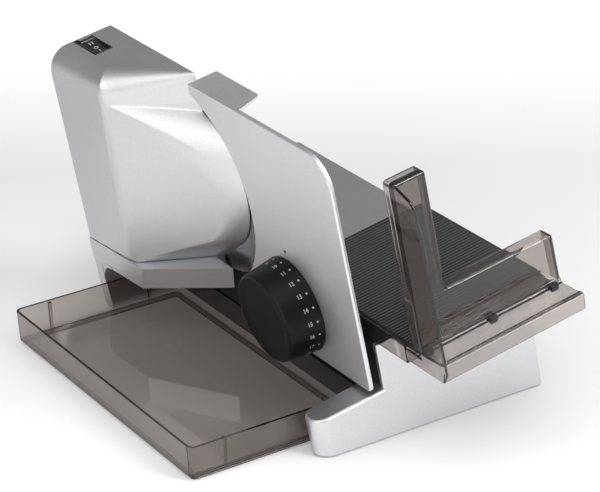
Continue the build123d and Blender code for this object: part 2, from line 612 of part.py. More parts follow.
# ---------------------------------------------------------------- carriage
with BuildPart() as guide_rail:
    with BuildSketch(PY(10)):
        poly([(RAIL_X - 6, RAISED_TOP), (RAIL_X + 6, RAISED_TOP), (RAIL_X + 6, 41.5), (RAIL_X + 9, 41.5), (RAIL_X + 9, 45.5),
              (RAIL_X - 9, 45.5), (RAIL_X - 9, 41.5), (RAIL_X - 6, 41.5)])
    extrude(amount=-288)
    for ry in RAIL_SCREWS:
        with BuildSketch(PZ(46)):
            with Locations((RAIL_X, ry)):
                Circle(4.0)
        extrude(amount=-3.0, mode=Mode.SUBTRACT)
        with BuildSketch(PZ(46)):
            with Locations((RAIL_X, ry)):
                Circle(2.0)
        extrude(amount=-10, mode=Mode.SUBTRACT)
finish(guide_rail, "guide_rail")

with BuildPart() as rail_screws:
    for ry in RAIL_SCREWS:
        with BuildSketch(PZ(30)):
            with Locations((RAIL_X, ry)):
                Circle(2.0)
        extrude(amount=13)
        with BuildSketch(PZ(43)):
            with Locations((RAIL_X, ry)):
                Circle(3.8)
        extrude(amount=2.0)
        with BuildSketch(PZ(44)):
            with Locations((RAIL_X, ry)):
                Rectangle(4.6, 0.9)
                Rectangle(0.9, 4.6)
        extrude(amount=2, mode=Mode.SUBTRACT)
finish(rail_screws, "rail_screws")

with BuildPart() as carriage_shoes:
    for y0 in (12, 46):
        with BuildSketch(PY(y0)):
            poly([(RAIL_X - 15, 52), (RAIL_X + 15, 52), (RAIL_X + 15, 38.6), (RAIL_X + 6.4, 38.6), (RAIL_X + 6.4, 41.1), (RAIL_X + 9.4, 41.1),
                  (RAIL_X + 9.4, 45.9), (RAIL_X - 9.4, 45.9), (RAIL_X - 9.4, 41.1), (RAIL_X - 6.4, 41.1), (RAIL_X - 6.4, 38.6), (RAIL_X - 15, 38.6)])
        extrude(amount=-24)
finish(carriage_shoes, "carriage_shoes")

TAB_Y0 = -50.0
with BuildPart() as carriage_table:
    tbox(CAR_X0 + 2.2, CAR_X1 - 2.2, TAB_Y0, CAR_Y1 - 2.2, 52, DECK_Z - 1.3)
    n_ribs = 46
    pitch = (CAR_Y1 - 4 - TAB_Y0 - 8) / n_ribs
    with BuildSketch(PZ(DECK_Z - 1.4)):
        for i in range(n_ribs):
            with Locations(((CAR_X0 + CAR_X1) / 2, TAB_Y0 + 8 + pitch * (i + 0.5))):
                Rectangle(CAR_X1 - CAR_X0 - 6, pitch * 0.45)
    extrude(amount=1.4)
finish(carriage_table, "carriage_table")

with BuildPart() as carriage_skirt:
    tbox(CAR_X0, CAR_X1, -37.5, CAR_Y1, 39.0, DECK_Z - 1.6)
    tbox(CAR_X0 + 2.2, CAR_X1 - 2.2, -35.3, CAR_Y1 - 2.2, 38, 60, Mode.SUBTRACT)
    tbox(RAIL_X - 11, RAIL_X + 11, -40, CAR_Y1 + 2, 38, 47.5, Mode.SUBTRACT)   # gate for the rail
    tbox(CAR_X0 + 2.2, CAR_X1 - 2.2, -40, -30, 52, 60, Mode.SUBTRACT)
    fillet(carriage_skirt.edges().filter_by(lambda e: abs(e.tangent_at(0.5).dot(Vector(*ZP))) > 0.99 and e.length > 15
           and (e.center() - Vector(*tp(0, 0, 0))).Y > 117.5), 1.5)
finish(carriage_skirt, "carriage_skirt")

WY = -61.0                               # front face of the pusher wall
W_LIP, W_END = 125.0, 123.6              # right end of the wall at its foot and at its top
CLIPS = (7.5, 62.0, 116.5)
with BuildPart() as carriage_wall:
    with BuildSketch(PY(WY)):
        poly([(CAR_X0, 60), (W_LIP, 60), (W_END, WALL_LOW), (30, WALL_LOW), (30, WALL_TOP), (CAR_X0, WALL_TOP)])
    extrude(amount=-12.0)
    ed = carriage_wall.edges().filter_by(lambda e: abs(e.tangent_at(0.5).Y) > 0.99)
    pick = lambda x, z: ed.sort_by(lambda e: (e.center() - Vector(*tp(x, WY + 6, z))).length)[0]
    fillet([pick(W_END, WALL_LOW), pick(30, WALL_TOP), pick(CAR_X0, WALL_TOP), pick(30, WALL_LOW)], 3.0)
    # the rim is turned back: everything inside it is hollow behind the wall
    with BuildSketch(PY(WY + 2.3)):
        poly([(CAR_X0 + 2.2, 50), (W_LIP - 2.0, 50), (W_END - 2.2, WALL_LOW - 2.2), (30 - 2.2, WALL_LOW - 2.2), (30 - 2.2, WALL_TOP - 2.2), (CAR_X0 + 2.2, WALL_TOP - 2.2)])
    extrude(amount=-20, mode=Mode.SUBTRACT)
    # shelf with its hollowed root and the down-turned front lip
    with BuildSketch(PX(CAR_X0)):
        with BuildLine():
            Polyline((WY, 76), (WY, 70))
            ThreePointArc((WY, 70), (WY - 1.9, 61.4), (WY - 7.5, 57.6))
            Polyline((WY - 7.5, 57.6), (WY - 22.5, 58.6), (WY - 24.0, 59.7), (WY - 25.6, 59.2), (WY - 26.4, 57.6), (WY - 26.0, 45.5), (WY - 23.8, 45.5),
                     (WY - 24.0, 56.4), (WY - 7.5, 55.2), (WY + 2.3, 55.2), (WY + 2.3, 76), (WY, 76))
        make_face()
    extrude(amount=W_LIP - CAR_X0)
    # left end wall: fin in front of the wall and skirt below the shelf
    with BuildSketch(PX(CAR_X0)):
        poly([(WY + 12, WALL_TOP - 6), (WY + 2, WALL_TOP - 3), (WY - 4, WALL_TOP), (WY - 19, 187.5), (WY - 23.0, 181.5), (WY - 25.4, 160), (WY - 26.4, 116), (WY - 26.4, 58), (WY - 21.5, 42),
              (-37.8, 42), (-37.8, 51.5), (WY + 3.6, 51.5), (WY + 3.6, 58), (WY + 12, 58)])
    extrude(amount=2.2)
    # flange under the front of the food table
    tbox(CAR_X0 + 2, W_LIP - 2.2, WY + 0.5, -38.0, 49.6, 52.0)
    tbox(CAR_X0 + 2, W_LIP - 2.2, WY, WY + 2.3, 49.6, 60)
    for cx in CLIPS:
        tbox(cx - 3, cx + 3, -65, -61.6, 50, 66, Mode.SUBTRACT)
finish(carriage_wall, "carriage_wall")

with BuildPart() as wall_clips:
    for cx in CLIPS:
        tbox(cx - 3, cx + 3, -65, -61.6, 54.4, 60.6)
finish(wall_clips, "wall_clips")

# ---------------------------------------------------------------- catch tray on the worktop
TX0, TX1 = CORNER_X + TRAY_X0, CORNER_X + TRAY_X1
TY0, TY1 = OY + TRAY_Y0, OY + TRAY_Y1
TW, TL = TX1 - TX0, TY1 - TY0
with BuildPart() as catch_tray:
    with BuildSketch(Plane.XY.offset(3.5)):
        with Locations(((TX0 + TX1) / 2, (TY0 + TY1) / 2)):
            RectangleRounded(TW - 2.0, TL - 2.0, 5.0)
    with BuildSketch(Plane.XY.offset(TRAY_H)):
        with Locations(((TX0 + TX1) / 2, (TY0 + TY1) / 2)):
            RectangleRounded(TW, TL, 6.0)
    loft()
    with BuildSketch(Plane.XY.offset(5.7)):
        with Locations(((TX0 + TX1) / 2, (TY0 + TY1) / 2)):
            RectangleRounded(TW - 6.2, TL - 6.2, 3.0)
    with BuildSketch(Plane.XY.offset(TRAY_H)):
        with Locations(((TX0 + TX1) / 2, (TY0 + TY1) / 2)):
            RectangleRounded(TW - 4.4, TL - 4.4, 3.9)
    loft(mode=Mode.SUBTRACT)
    with BuildSketch(Plane.XY):
        with Locations(((TX0 + TX1) / 2, (TY0 + TY1) / 2)):
            RectangleRounded(TW - 8, TL - 8, 4.0)
            RectangleRounded(TW - 14, TL - 14, 2.0, mode=Mode.SUBTRACT)
    extrude(amount=3.6)
    # stiffening ribs inside the two end walls
    for rx in (TX0 + 30, TX1 - 30):
        with BuildSketch(Plane.XY.offset(5.0)):
            with Locations((rx, TY0 + 3.2), (rx, TY1 - 3.2)):
                Rectangle(2.4, 3.4)
        extrude(amount=TRAY_H - 5.8)
finish(catch_tray, "catch_tray")
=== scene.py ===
import json
import math

import bmesh
import bpy
import numpy as np
from mathutils import Matrix, Vector


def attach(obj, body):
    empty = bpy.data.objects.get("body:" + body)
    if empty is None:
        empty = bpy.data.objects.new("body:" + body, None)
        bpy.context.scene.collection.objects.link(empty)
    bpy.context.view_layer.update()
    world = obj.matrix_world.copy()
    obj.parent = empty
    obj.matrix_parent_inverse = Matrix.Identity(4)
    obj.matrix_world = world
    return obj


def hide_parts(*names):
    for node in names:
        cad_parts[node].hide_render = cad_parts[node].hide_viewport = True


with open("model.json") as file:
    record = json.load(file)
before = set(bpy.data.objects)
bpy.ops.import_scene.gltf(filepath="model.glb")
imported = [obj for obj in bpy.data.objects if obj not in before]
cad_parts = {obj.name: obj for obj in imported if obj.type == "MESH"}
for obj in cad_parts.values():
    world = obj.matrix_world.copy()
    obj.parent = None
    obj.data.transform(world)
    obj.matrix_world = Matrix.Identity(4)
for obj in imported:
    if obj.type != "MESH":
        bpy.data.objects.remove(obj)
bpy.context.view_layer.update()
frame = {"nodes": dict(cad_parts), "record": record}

nodes = frame["nodes"]
scene = bpy.context.scene
MM = 0.001

# Tilted frame of the upper unit: x' across the cutting plane, y away from the user, z' up along it (millimetres).
TILT = math.radians(10.0)
CS, SN = math.cos(TILT), math.sin(TILT)
OX, OY, OZ = 2.032, -117.3, 41.5
AXIS_Y, AXIS_Z = 211.3, 105.75            # blade axis
DIAL_Y, DIAL_Z = 84.3, 45.0               # dial axis


def tp(p):
    """Points of the tilted frame in millimetres, as metres in the part's own frame."""
    p = np.asarray(p, float).reshape(-1, 3)
    x, y, z = p.T
    return np.stack([OX + x * CS - z * SN, OY + y, OZ + x * SN + z * CS], 1) * MM


def tdir(p):
    p = np.asarray(p, float).reshape(-1, 3)
    x, y, z = p.T
    return np.stack([x * CS - z * SN, y, x * SN + z * CS], 1)


# ---------------------------------------------------------------- camera
ROWS = np.array([[0.842, -0.5386, -0.0317], [-0.2518, -0.3404, -0.9059], [0.4772, 0.7707, -0.4222]])
u_, _, v_ = np.linalg.svd(ROWS)
RIGHT, DOWN, AHEAD = u_ @ v_
cam = bpy.data.objects.new("camera", bpy.data.cameras.new("camera"))
scene.collection.objects.link(cam)
cam.data.sensor_fit = "HORIZONTAL"
cam.data.sensor_width = 36.0
cam.data.lens = 152.79
cam.data.clip_start, cam.data.clip_end = 0.05, 60.0
cam.matrix_world = Matrix((
    (RIGHT[0], -DOWN[0], -AHEAD[0], -0.90298),
    (RIGHT[1], -DOWN[1], -AHEAD[1], -1.4702),
    (RIGHT[2], -DOWN[2], -AHEAD[2], 0.91624),
    (0, 0, 0, 1),
))
scene.camera = cam


# ---------------------------------------------------------------- materials
class Tree:
    """Small helper for building node trees."""

    def __init__(self, name):
        self.mat = bpy.data.materials.new(name)
        self.mat.use_nodes = True
        self.nt = self.mat.node_tree
        self.nt.nodes.clear()
        self.out = self.nt.nodes.new("ShaderNodeOutputMaterial")
        self.coord = self.nt.nodes.new("ShaderNodeTexCoord").outputs["Object"]

    def node(self, kind, **settings):
        n = self.nt.nodes.new(kind)
        for k, v in settings.items():
            setattr(n, k, v)
        return n

    def put(self, socket, value):
        if isinstance(value, bpy.types.NodeSocket):
            self.nt.links.new(value, socket)
        else:
            socket.default_value = value

    def math(self, op, a, b=None, clamp=False):
        n = self.node("ShaderNodeMath", operation=op, use_clamp=clamp)
        self.put(n.inputs[0], a)
        if b is not None:
            self.put(n.inputs[1], b)
        return n.outputs[0]

    def noise(self, scale, detail=2.0, rough=0.5, distort=0.0, vector=None):
        n = self.node("ShaderNodeTexNoise")
        self.put(n.inputs["Vector"], vector or self.coord)
        n.inputs["Scale"].default_value = scale
        n.inputs["Detail"].default_value = detail
        n.inputs["Roughness"].default_value = rough
        n.inputs["Distortion"].default_value = distort
        return n.outputs["Fac"]

    def voronoi(self, scale, vector=None):
        n = self.node("ShaderNodeTexVoronoi")
        self.put(n.inputs["Vector"], vector or self.coord)
        n.inputs["Scale"].default_value = scale
        return n.outputs["Color"], n.outputs["Distance"]

    def span(self, fac, a0, a1, b0, b1):
        n = self.node("ShaderNodeMapRange")
        self.put(n.inputs["Value"], fac)
        for name, v in (("From Min", a0), ("From Max", a1), ("To Min", b0), ("To Max", b1)):
            self.put(n.inputs[name], v)
        return n.outputs["Result"]

    def ramp(self, fac, stops):
        n = self.node("ShaderNodeValToRGB")
        el = n.color_ramp.elements
        while len(el) < len(stops):
            el.new(0.5)
        for e, (pos, col) in zip(el, stops):
            e.position = pos
            e.color = (*col, 1.0) if len(col) == 3 else col
        self.put(n.inputs["Fac"], fac)
        return n.outputs["Color"]

    def mix(self, fac, a, b, kind="MIX"):
        n = self.node("ShaderNodeMix", data_type="RGBA", blend_type=kind)
        self.put(n.inputs[0], fac)
        self.put(n.inputs[6], a)
        self.put(n.inputs[7], b)
        return n.outputs[2]

    def bump(self, height, strength, distance, normal=None):
        n = self.node("ShaderNodeBump")
        n.inputs["Strength"].default_value = strength
        n.inputs["Distance"].default_value = distance
        self.put(n.inputs["Height"], height)
        if normal is not None:
            self.put(n.inputs["Normal"], normal)
        return n.outputs["Normal"]

    def stretch(self, scale, turn=(0.0, 0.0, 0.0)):
        n = self.node("ShaderNodeMapping")
        n.inputs["Rotation"].default_value = turn
        n.inputs["Scale"].default_value = scale
        self.put(n.inputs["Vector"], self.coord)
        return n.outputs["Vector"]

    def principled(self, **values):
        p = self.node("ShaderNodeBsdfPrincipled")
        for k, v in values.items():
            self.put(p.inputs[k.replace("_", " ")], v)
        self.nt.links.new(p.outputs[0], self.out.inputs["Surface"])
        return p


def paint_silver(name, tone, rough, edge=1.0, flake=0.10):
    """Silver paint: fine metal flakes, a soft orange peel, a little handling wear in the gloss."""
    t = Tree(name)
    cells, _ = t.voronoi(2600.0)
    sep = t.node("ShaderNodeSeparateColor")
    t.put(sep.inputs[0], cells)
    fine = sep.outputs[0]
    cloud = t.noise(16.0, 4.0, 0.55)
    scuff = t.noise(1.0, 3.0, 0.6, 0.3, t.stretch((260.0, 60.0, 260.0), (0.4, 0.2, 0.7)))
    base = t.ramp(t.math("ADD", t.math("MULTIPLY", fine, 0.65), t.math("MULTIPLY", cloud, 0.35)),
                  [(0.0, tuple(c * (1 - flake) for c in tone)), (0.5, tone), (1.0, tuple(min(1, c * (1 + flake)) for c in tone))])
    r = t.math("ADD", t.span(cloud, 0.3, 0.7, rough - 0.03, rough + 0.03), t.span(scuff, 0.56, 0.75, 0.0, 0.05))
    r = t.math("ADD", r, t.span(fine, 0.0, 1.0, -0.02, 0.02))
    n = t.bump(t.noise(520.0, 2.0, 0.5), 0.10, 0.00006)
    n = t.bump(fine, 0.05, 0.00003, n)
    t.principled(Base_Color=base, Metallic=1.0, Roughness=r, Normal=n, Specular_Tint=(edge, edge, edge, 1.0))
    return t.mat


def plastic(name, tone, rough, grain, depth, spread=0.25, spec=0.5):
    """Moulded plastic: spark-eroded grain, faint colour clouding, polished spots."""
    t = Tree(name)
    g = t.noise(grain, 3.0, 0.62)
    cells, dist = t.voronoi(grain * 0.9)
    cloud = t.noise(24.0, 3.0, 0.5)
    base = t.ramp(t.math("ADD", t.math("MULTIPLY", g, 0.5), t.math("MULTIPLY", cloud, 0.5)),
                  [(0.25, tuple(c * (1 - spread) for c in tone)), (0.75, tuple(c * (1 + spread) for c in tone))])
    r = t.math("ADD", t.span(cloud, 0.3, 0.7, rough - 0.05, rough + 0.05), t.span(g, 0.3, 0.7, -0.04, 0.04))
    n = t.bump(t.math("ADD", g, t.math("MULTIPLY", dist, 0.6)), 0.35, depth)
    t.principled(Base_Color=base, Roughness=r, Normal=n, Specular_IOR_Level=spec)
    return t.mat


def ribbed(name, tone, worn, rough):
    """Moulded table: fine grain, dark grooves, rib tops rubbed lighter and smoother."""
    t = Tree(name)
    g = t.noise(1100.0, 3.0, 0.62)
    cloud = t.noise(24.0, 3.0, 0.5)
    n = t.node("ShaderNodeVectorMath", operation="DOT_PRODUCT")
    t.put(n.inputs[0], t.coord)
    n.inputs[1].default_value = tdir((0, 0, 1))[0]
    base_level = float(np.dot(tp((0, 0, 0))[0], tdir((0, 0, 1))[0]))
    top = t.span(n.outputs["Value"], base_level + 0.0558, base_level + 0.0568, 0.0, 1.0)
    wear = t.math("MULTIPLY", top, t.span(cloud, 0.3, 0.7, 0.75, 1.0))
    base = t.mix(wear, t.ramp(g, [(0.25, tuple(c * 0.8 for c in tone)), (0.75, tuple(c * 1.2 for c in tone))]),
                 t.ramp(g, [(0.25, tuple(c * 0.85 for c in worn)), (0.75, tuple(c * 1.15 for c in worn))]))
    r = t.math("ADD", t.span(wear, 0.0, 1.0, rough + 0.12, rough), t.span(g, 0.3, 0.7, -0.04, 0.04))
    t.principled(Base_Color=base, Roughness=r, Normal=t.bump(g, 0.3, 0.00005))
    return t.mat


def metal(name, tone, rough, turn=(0, 0, 0), stretch=(40.0, 1400.0, 1400.0), depth=0.00002, cut=0.12):
    """Drawn or ground metal: fine parallel lines in colour, gloss and relief."""
    t = Tree(name)
    lines = t.noise(1.0, 4.0, 0.65, 0.0, t.stretch(stretch, turn))
    cloud = t.noise(30.0, 3.0, 0.5)
    base = t.ramp(lines, [(0.25, tuple(c * (1 - cut) for c in tone)), (0.75, tuple(min(1, c * (1 + cut)) for c in tone))])
    r = t.math("ADD", t.span(lines, 0.25, 0.75, rough - 0.07, rough + 0.07), t.span(cloud, 0.3, 0.7, -0.03, 0.03))
    t.principled(Base_Color=base, Metallic=1.0, Roughness=r, Normal=t.bump(lines, 0.25, depth))
    return t.mat


def blade_metal(name, tone):
    """Ground steel: rings about the blade axis in colour, gloss and relief, with a faint cloud in the gloss."""
    t = Tree(name)
    centre = tp((0, AXIS_Y, AXIS_Z))[0]
    off = t.node("ShaderNodeVectorMath", operation="SUBTRACT")
    t.put(off.inputs[0], t.coord)
    off.inputs[1].default_value = centre
    spin = t.node("ShaderNodeVectorRotate", rotation_type="Y_AXIS")
    t.put(spin.inputs["Vector"], off.outputs[0])
    spin.inputs["Angle"].default_value = TILT
    sep = t.node("ShaderNodeSeparateXYZ")
    t.put(sep.inputs[0], spin.outputs[0])
    rad = t.math("SQRT", t.math("ADD", t.math("MULTIPLY", sep.outputs[1], sep.outputs[1]), t.math("MULTIPLY", sep.outputs[2], sep.outputs[2])))
    ring = t.node("ShaderNodeTexNoise", noise_dimensions="1D")
    t.put(ring.inputs["W"], rad)
    ring.inputs["Scale"].default_value = 2600.0
    ring.inputs["Detail"].default_value = 3.0
    cloud = t.noise(40.0, 3.0, 0.5)
    lines = ring.outputs["Fac"]
    base = t.ramp(lines, [(0.25, tuple(c * 0.86 for c in tone)), (0.75, tuple(min(1, c * 1.08) for c in tone))])
    r = t.math("ADD", t.span(lines, 0.25, 0.75, 0.2, 0.32), t.span(cloud, 0.3, 0.7, -0.03, 0.03))
    t.principled(Base_Color=base, Metallic=1.0, Roughness=r, Normal=t.bump(lines, 0.2, 0.00002))
    return t.mat


def smoke(name, tint, density, rough=0.03):
    """Clear smoke-tinted plastic: polished, with a faint flow structure and wiped surface, tinted through its depth."""
    t = Tree(name)
    wipe = t.noise(1.0, 3.0, 0.6, 0.2, t.stretch((30.0, 240.0, 120.0), (0.3, 0.1, 0.5)))
    cloud = t.noise(45.0, 3.0, 0.5)
    r = t.math("ADD", t.span(cloud, 0.35, 0.7, rough - 0.012, rough + 0.03), t.span(wipe, 0.55, 0.75, 0.0, 0.03))
    n = t.bump(t.noise(90.0, 2.0, 0.5), 0.03, 0.0001)
    p = t.node("ShaderNodeBsdfPrincipled")
    p.inputs["Base Color"].default_value = (0.95, 0.925, 0.91, 1)
    p.inputs["IOR"].default_value = 1.56
    p.inputs["Transmission Weight"].default_value = 0.99
    t.put(p.inputs["Roughness"], r)
    t.put(p.inputs["Normal"], n)
    clear = t.node("ShaderNodeBsdfTransparent")
    clear.inputs["Color"].default_value = (0.93, 0.925, 0.92, 1)
    path = t.node("ShaderNodeLightPath")
    m = t.node("ShaderNodeMixShader")
    t.put(m.inputs[0], path.outputs["Is Shadow Ray"])
    t.put(m.inputs[1], p.outputs[0])
    t.put(m.inputs[2], clear.outputs[0])
    t.put(t.out.inputs["Surface"], m.outputs[0])
    v = t.node("ShaderNodeVolumeAbsorption")
    v.inputs["Color"].default_value = tint
    v.inputs["Density"].default_value = density
    t.put(t.out.inputs["Volume"], v.outputs[0])
    return t.mat


def ink(name, tone, rough=0.5):
    """Screen-printed ink, slightly uneven."""
    t = Tree(name)
    g = t.noise(1800.0, 2.0, 0.6)
    base = t.ramp(g, [(0.2, tuple(c * 0.82 for c in tone)), (0.7, tone)])
    t.principled(Base_Color=base, Roughness=t.span(g, 0.2, 0.8, rough - 0.08, rough + 0.08), Normal=t.bump(g, 0.2, 0.00002))
    return t.mat


MATS = {
    "silver": paint_silver("silver_paint", (0.74, 0.745, 0.76), 0.42, 0.6),
    "plate_silver": paint_silver("plate_paint", (0.82, 0.825, 0.84), 0.48),
    "black_plastic": plastic("black_moulding", (0.026, 0.027, 0.029), 0.5, 1500.0, 0.00005),
    "switch_black": plastic("switch_moulding", (0.014, 0.0145, 0.016), 0.34, 1800.0, 0.00003),
    "knob_black": plastic("dial_moulding", (0.0045, 0.0050, 0.0058), 0.42, 1600.0, 0.00003, 0.25, 0.22),
    "smoky": smoke("smoke_clear", (0.46, 0.395, 0.365, 1), 410.0),
    "table_dark": ribbed("table_moulding", (0.012, 0.012, 0.013), (0.055, 0.055, 0.057), 0.38),
    "rubber": plastic("foot_rubber", (0.022, 0.022, 0.022), 0.75, 1300.0, 0.00008),
    "blade_steel": blade_metal("blade_ground", (0.62, 0.62, 0.63)),
    "steel": metal("bright_steel", (0.55, 0.55, 0.56), 0.28),
    "zinc_steel": metal("zinc_plate", (0.50, 0.51, 0.53), 0.42, (0.0, 0.0, 0.6), (160.0, 420.0, 420.0), 0.00002, 0.16),
    "rail_aluminium": metal("drawn_aluminium", (0.70, 0.70, 0.71), 0.36, (0, 0, 0), (1500.0, 30.0, 1500.0)),
    "gear_plastic": plastic("gear_moulding", (0.70, 0.69, 0.64), 0.46, 1200.0, 0.00004, 0.06),
    "bronze": metal("bush_bronze", (0.58, 0.40, 0.21), 0.46, (0, 0, 0), (500.0, 500.0, 500.0), 0.00004, 0.2),
}
MARK_WHITE = ink("mark_white", (0.82, 0.83, 0.83))
MARK_GREY = ink("mark_grey", (0.46, 0.46, 0.47))
MARK_BLACK = ink("mark_black", (0.02, 0.02, 0.022))
# Bright metal for the strips on the rocker that are painted highlight.
PAINTED_HIGHLIGHT_METAL = metal("switch_painted_highlight_metal", (0.74, 0.75, 0.76), 0.22)

slot_of = {s["node"]: s["material_slot"] for s in frame["record"]["subparts"]}
for name, obj in nodes.items():
    mat = MATS[slot_of[name]]
    obj.data.materials.clear()
    obj.data.materials.append(mat)


# ---------------------------------------------------------------- edges of the moulded and cast pieces
def soften(name, width, segments=2, angle=32.0):
    obj = nodes[name]
    w = obj.modifiers.new("weld", "WELD")
    w.merge_threshold = 0.000004
    b = obj.modifiers.new("edges", "BEVEL")
    b.width = width * MM
    b.segments = segments
    b.limit_method = "ANGLE"
    b.angle_limit = math.radians(angle)
    b.use_clamp_overlap = True
    b.miter_outer = "MITER_ARC"
    n = obj.modifiers.new("normals", "WEIGHTED_NORMAL")
    n.keep_sharp = False
    n.weight = 80


SOFT_EDGES = {
    "catch_tray": 0.6, "carriage_skirt": 0.45, "lower_shell": 1.3, "switch_frame": 0.3, "carriage_table": 0.22,
    "chassis": 0.5, "stop_plate": 0.45, "rubber_feet": 0.3, "cable_gland": 0.5, "knob": 0.25,
}
for name, width in SOFT_EDGES.items():
    soften(name, width)


# ---------------------------------------------------------------- meshes of our own
def add_mesh(name, verts, faces, mat, body, smooth=False):
    me = bpy.data.meshes.new(name)
    me.from_pydata([tuple(v) for v in verts], [], [tuple(f) for f in faces])
    me.validate()
    me.update()
    me.materials.append(mat)
    if smooth:
        me.polygons.foreach_set("use_smooth", [True] * len(me.polygons))
    ob = bpy.data.objects.new(name, me)
    scene.collection.objects.link(ob)
    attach(ob, body)
    return ob


def rmax(a, b, r):
    """Intersection of two solids with an edge radius r."""
    return np.minimum(-r, np.maximum(a, b)) + np.hypot(np.maximum(a + r, 0), np.maximum(b + r, 0))


def rmin(a, b, r):
    """Union of two solids with a root radius r."""
    return np.maximum(r, np.minimum(a, b)) - np.hypot(np.maximum(r - a, 0), np.maximum(r - b, 0))


def clip01(v, lo=0.0):
    return np.clip(v, lo, 1.0)


BULGE_R, BULGE_BACK, BULGE_GROW = 66.5, 1.83, 0.52
C26, S26 = math.cos(math.radians(26)), math.sin(math.radians(26))
LOW_ANG = math.radians(234.9)


def housing_outer(x, y, z):
    """Signed distance to the closed outer form of the motor housing, without its bottom."""
    left = (-64.4 + 0.01674 * (z - 34.6) + 0.0734 * (318 - y) - x) / 1.0028
    face = -0.751 * x - 0.660 * y + 120.3 + 0.0813 * np.clip(176 - z, 0, 142)
    top, right, back = z - 200.9, x + 3.3, y - 318.0

    flat = -C26 * (x + 58.6) - S26 * (y - 252)
    u = -3.3 - x
    vy, vz = y - AXIS_Y - BULGE_BACK * u, z - AXIS_Z
    far = np.maximum(np.hypot(vy, vz), 1e-6)
    upper = (far - BULGE_R - BULGE_GROW * u) / np.sqrt(1 + (BULGE_BACK * vy / far + BULGE_GROW) ** 2)
    vy = y - AXIS_Y
    ang = np.clip(np.mod(np.arctan2(vz, vy), 2 * math.pi), math.pi, LOW_ANG)
    w = 0.5 + 0.5 * np.cos(math.pi * (ang - math.pi) / (LOW_ANG - math.pi))
    grow = 0.501 + (BULGE_BACK - BULGE_GROW - 0.501) * w
    reach = np.where(ang < LOW_ANG, np.hypot(vy, vz), vy * math.cos(LOW_ANG) + vz * math.sin(LOW_ANG))
    lower = (reach - 63.05 - (BULGE_R - 63.05) * w + grow * u) / np.sqrt(1 + grow * grow)
    bulge = rmax(flat, np.where(vz >= 0, upper, lower), 0.7 + 1.7 * clip01((250 - y) / 50))
    wall = rmax(rmin(face, bulge, 1.2), left, 2.1)
    body = rmax(wall, top, 2.5 + 15.5 * clip01((-4 - x) / 46))
    return rmax(rmax(body, back, 3.0), right, 0.5)


def housing_shell(x, y, z):
    body = housing_outer(x, y, z)
    shell = rmax(body, 34.6 - z, 0.3)
    shell = rmax(shell, -(body + 2.5), 0.3)
    hole = np.maximum(np.hypot(y - AXIS_Y, z - AXIS_Z) - 56.1, -8.0 - x)
    shell = rmax(shell, -hole, 0.3)
    switch = np.maximum(np.maximum(np.abs(x + 30) - 7.7, np.abs(y - 296.7) - 17.9), 185 - z)
    return rmax(shell, -switch, 0.3)


def surface_net(f, lo, step, count):
    """Quads on the zero level of f: one vertex per crossed cell, then drawn on to the surface."""
    ax = [lo[i] + step * np.arange(count[i]) for i in range(3)]
    X, Y, Z = np.meshgrid(*ax, indexing="ij")
    F = f(X, Y, Z)
    inside = F < 0
    n = np.array(F.shape) - 1
    total = np.zeros((*n, 3))
    hits = np.zeros(tuple(n))
    corner = [(i, j, k) for i in (0, 1) for j in (0, 1) for k in (0, 1)]

    def at(a, c):
        return a[c[0]:c[0] + n[0], c[1]:c[1] + n[1], c[2]:c[2] + n[2]]

    for a in corner:
        for d in range(3):
            if a[d]:
                continue
            b = list(a)
            b[d] = 1
            fa, fb = at(F, a), at(F, b)
            cross = (fa < 0) != (fb < 0)
            t = np.where(cross, fa / np.where(cross, fa - fb, 1.0), 0.0)
            for e in range(3):
                total[..., e] += np.where(cross, a[e] + (t if e == d else 0.0), 0.0)
            hits += cross
    active = hits > 0
    index = -np.ones(tuple(n), int)
    index[active] = np.arange(active.sum())
    cell = np.argwhere(active)
    pos = np.array(lo) + step * (cell + total[active] / hits[active][:, None])
    quads = []
    for d in range(3):
        e, g = (d + 1) % 3, (d + 2) % 3
        sl0 = [slice(None)] * 3
        sl1 = [slice(None)] * 3
        sl0[d], sl1[d] = slice(0, -1), slice(1, None)
        a, b = inside[tuple(sl0)], inside[tuple(sl1)]
        edge = np.argwhere(a != b)
        edge = edge[(edge[:, e] > 0) & (edge[:, g] > 0) & (edge[:, e] < n[e]) & (edge[:, g] < n[g])]
        q = []
        for de, dg in ((-1, -1), (0, -1), (0, 0), (-1, 0)):
            c = edge.copy()
            c[:, e] += de
            c[:, g] += dg
            q.append(index[c[:, 0], c[:, 1], c[:, 2]])
        q = np.stack(q, 1)
        flip = ~a[edge[:, 0], edge[:, 1], edge[:, 2]]
        q[flip] = q[flip][:, ::-1]
        quads.append(q)
    quads = np.concatenate(quads)

    def slope_of(p, e=0.05):
        g = np.stack([f(*(p + np.eye(3)[i] * e).T) - f(*(p - np.eye(3)[i] * e).T) for i in range(3)], 1) / (2 * e)
        return g

    start = pos.copy()
    for _ in range(4):
        g = slope_of(pos)
        pos = pos - (f(*pos.T) / np.maximum((g * g).sum(1), 0.2))[:, None] * g
        off = pos - start
        far = np.linalg.norm(off, axis=1)[:, None]
        pos = start + off * np.minimum(1, 0.8 * step / np.maximum(far, 1e-9))
    g = slope_of(pos, 0.12)
    return pos, quads, g / np.maximum(np.linalg.norm(g, axis=1)[:, None], 1e-9)


pos, quads, normal = surface_net(housing_shell, (-69.9, 140.0, 29.2), 1.2, (58, 153, 146))
housing = add_mesh("housing_shell", tp(pos), quads, MATS["silver"], "base", smooth=True)
if len(housing.data.vertices) == len(pos):
    housing.data.normals_split_custom_set_from_vertices([tuple(v) for v in tdir(normal)])
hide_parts("motor_housing")


